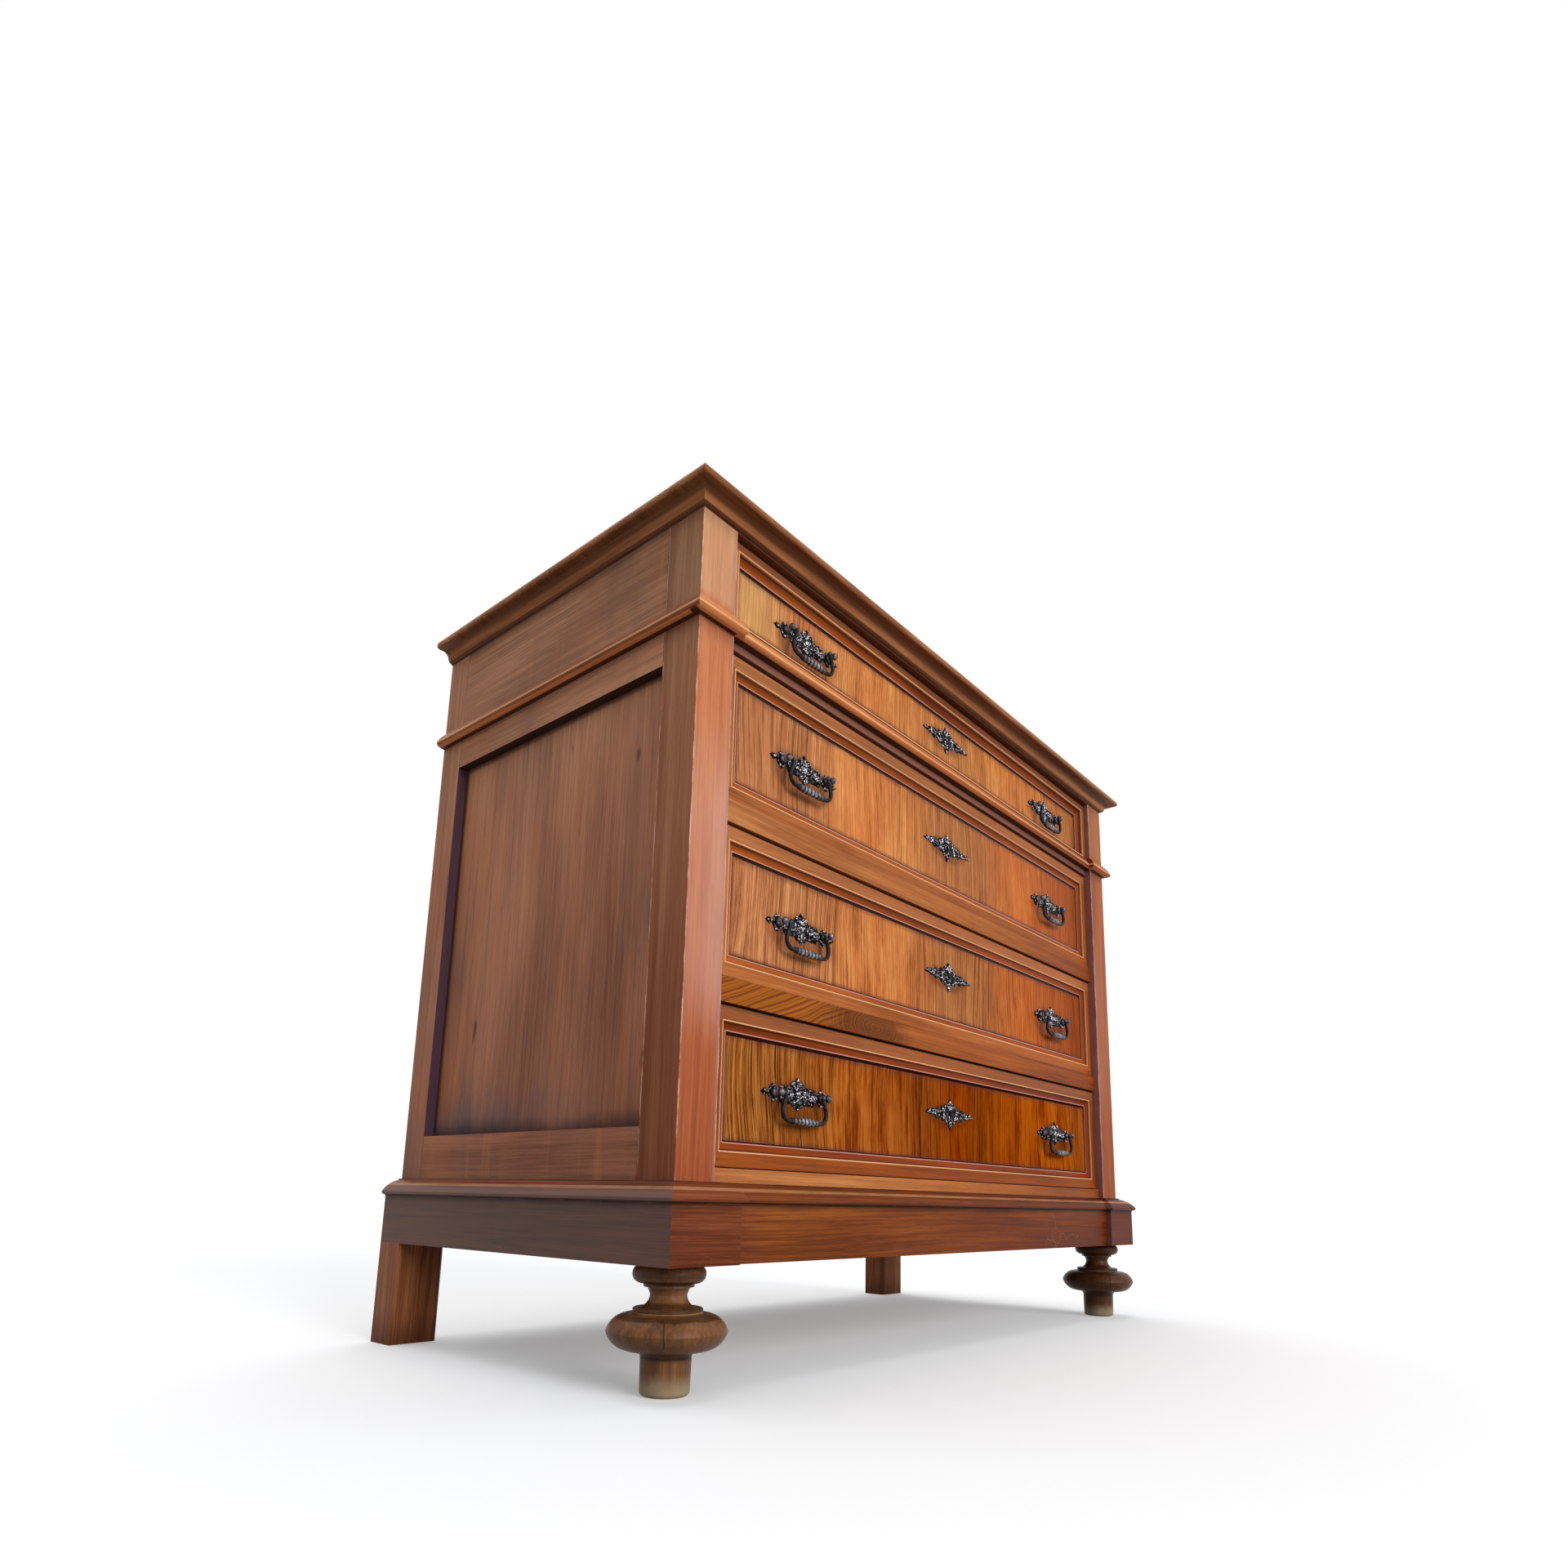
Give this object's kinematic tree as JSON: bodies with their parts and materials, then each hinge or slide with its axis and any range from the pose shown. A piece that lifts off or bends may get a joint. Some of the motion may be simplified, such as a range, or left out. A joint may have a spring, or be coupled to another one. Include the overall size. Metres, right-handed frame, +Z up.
{
  "type": "chest of drawers",
  "caption": "Walnut chest of drawers with moulded top and waist, panelled sides, turned front feet, bail pulls and key plates.",
  "frame": {"origin": "on the floor, below the middle of the whole chest", "axes": "+X along the front to the right of someone facing it, +Y to the back, +Z up; the drawers open towards -Y"},
  "size_m": [1.1942, 0.5748, 1.01],
  "materials": {
    "walnut_carcass": "wax over shellac, satin",
    "walnut_sides": "wax over shellac, satin",
    "walnut_veneer": "shellac polish, semi-gloss",
    "walnut_frame": "wax over shellac, satin",
    "walnut_turned": "worn wax, satin",
    "walnut_plinth": "wax over shellac, satin, scuffed",
    "secondary_wood": "bare planed wood, aged",
    "dark_bronze": "dark patina, rubbed on the high points",
    "lock_steel": "dull, lightly rusted"
  },
  "bodies": {
    "carcass": {"top_board": "walnut_carcass", "cornice_moulding": "walnut_carcass", "waist_moulding": "walnut_carcass", "base_moulding": "walnut_plinth", "post_front_left": "walnut_carcass", "post_front_right": "walnut_carcass", "post_rear_left": "walnut_carcass", "post_rear_right": "walnut_carcass", "side_frieze_left": "walnut_sides", "side_frieze_right": "walnut_sides", "side_rails": "walnut_sides", "side_panel_left": "walnut_sides", "side_panel_right": "walnut_sides", "front_rails": "walnut_carcass", "back_rails": "secondary_wood", "back_boards": "secondary_wood", "plinth": "walnut_plinth", "plinth_blocks": "secondary_wood", "foot_front_left": "walnut_turned", "foot_front_right": "walnut_turned", "foot_rear_left": "walnut_carcass", "foot_rear_right": "walnut_carcass", "drawer_runners": "secondary_wood", "drawer_guides": "secondary_wood"},
    "drawer_1": {"drawer_1_front": "walnut_veneer", "drawer_1_frame": "walnut_frame", "drawer_1_box": "secondary_wood", "drawer_1_lock": "lock_steel", "drawer_1_handle_plates": "dark_bronze", "drawer_1_escutcheon": "dark_bronze"},
    "bolt_1": {"drawer_1_bolt": "lock_steel"},
    "bail_1_left": {"drawer_1_bail_left": "dark_bronze"},
    "bail_1_right": {"drawer_1_bail_right": "dark_bronze"},
    "drawer_2": {"drawer_2_front": "walnut_veneer", "drawer_2_frame": "walnut_frame", "drawer_2_box": "secondary_wood", "drawer_2_lock": "lock_steel", "drawer_2_handle_plates": "dark_bronze", "drawer_2_escutcheon": "dark_bronze"},
    "bolt_2": {"drawer_2_bolt": "lock_steel"},
    "bail_2_left": {"drawer_2_bail_left": "dark_bronze"},
    "bail_2_right": {"drawer_2_bail_right": "dark_bronze"},
    "drawer_3": {"drawer_3_front": "walnut_veneer", "drawer_3_frame": "walnut_frame", "drawer_3_box": "secondary_wood", "drawer_3_lock": "lock_steel", "drawer_3_handle_plates": "dark_bronze", "drawer_3_escutcheon": "dark_bronze"},
    "bolt_3": {"drawer_3_bolt": "lock_steel"},
    "bail_3_left": {"drawer_3_bail_left": "dark_bronze"},
    "bail_3_right": {"drawer_3_bail_right": "dark_bronze"},
    "drawer_4": {"drawer_4_front": "walnut_veneer", "drawer_4_frame": "walnut_frame", "drawer_4_box": "secondary_wood", "drawer_4_lock": "lock_steel", "drawer_4_handle_plates": "dark_bronze", "drawer_4_escutcheon": "dark_bronze"},
    "bolt_4": {"drawer_4_bolt": "lock_steel"},
    "bail_4_left": {"drawer_4_bail_left": "dark_bronze"},
    "bail_4_right": {"drawer_4_bail_right": "dark_bronze"}
  },
  "joints": [
    {"name": "drawer_1_slide", "type": "slide", "parent": "carcass", "child": "drawer_1", "axis": [0, -1, 0], "range_m": [0, 0.38]},
    {"name": "bolt_1_throw", "type": "slide", "parent": "drawer_1", "child": "bolt_1", "axis": [0, 0, 1], "range_m": [0, 0.008]},
    {"name": "bail_1_left_hinge", "type": "hinge", "parent": "drawer_1", "child": "bail_1_left", "pos_m": [-0.35, -0.24855, 0.913], "axis": [-1, 0, 0], "range_deg": [-8, 170]},
    {"name": "bail_1_right_hinge", "type": "hinge", "parent": "drawer_1", "child": "bail_1_right", "pos_m": [0.35, -0.24855, 0.913], "axis": [-1, 0, 0], "range_deg": [-8, 170]},
    {"name": "drawer_2_slide", "type": "slide", "parent": "carcass", "child": "drawer_2", "axis": [0, -1, 0], "range_m": [0, 0.38]},
    {"name": "bolt_2_throw", "type": "slide", "parent": "drawer_2", "child": "bolt_2", "axis": [0, 0, 1], "range_m": [0, 0.008]},
    {"name": "bail_2_left_hinge", "type": "hinge", "parent": "drawer_2", "child": "bail_2_left", "pos_m": [-0.35, -0.24855, 0.73375], "axis": [-1, 0, 0], "range_deg": [-8, 170]},
    {"name": "bail_2_right_hinge", "type": "hinge", "parent": "drawer_2", "child": "bail_2_right", "pos_m": [0.35, -0.24855, 0.73375], "axis": [-1, 0, 0], "range_deg": [-8, 170]},
    {"name": "drawer_3_slide", "type": "slide", "parent": "carcass", "child": "drawer_3", "axis": [0, -1, 0], "range_m": [0, 0.38]},
    {"name": "bolt_3_throw", "type": "slide", "parent": "drawer_3", "child": "bolt_3", "axis": [0, 0, 1], "range_m": [0, 0.008]},
    {"name": "bail_3_left_hinge", "type": "hinge", "parent": "drawer_3", "child": "bail_3_left", "pos_m": [-0.35, -0.24855, 0.52225], "axis": [-1, 0, 0], "range_deg": [-8, 170]},
    {"name": "bail_3_right_hinge", "type": "hinge", "parent": "drawer_3", "child": "bail_3_right", "pos_m": [0.35, -0.24855, 0.52225], "axis": [-1, 0, 0], "range_deg": [-8, 170]},
    {"name": "drawer_4_slide", "type": "slide", "parent": "carcass", "child": "drawer_4", "axis": [0, -1, 0], "range_m": [0, 0.38]},
    {"name": "bolt_4_throw", "type": "slide", "parent": "drawer_4", "child": "bolt_4", "axis": [0, 0, 1], "range_m": [0, 0.008]},
    {"name": "bail_4_left_hinge", "type": "hinge", "parent": "drawer_4", "child": "bail_4_left", "pos_m": [-0.35, -0.24855, 0.3164], "axis": [-1, 0, 0], "range_deg": [-8, 170]},
    {"name": "bail_4_right_hinge", "type": "hinge", "parent": "drawer_4", "child": "bail_4_right", "pos_m": [0.35, -0.24855, 0.3164], "axis": [-1, 0, 0], "range_deg": [-8, 170]}
  ]
}
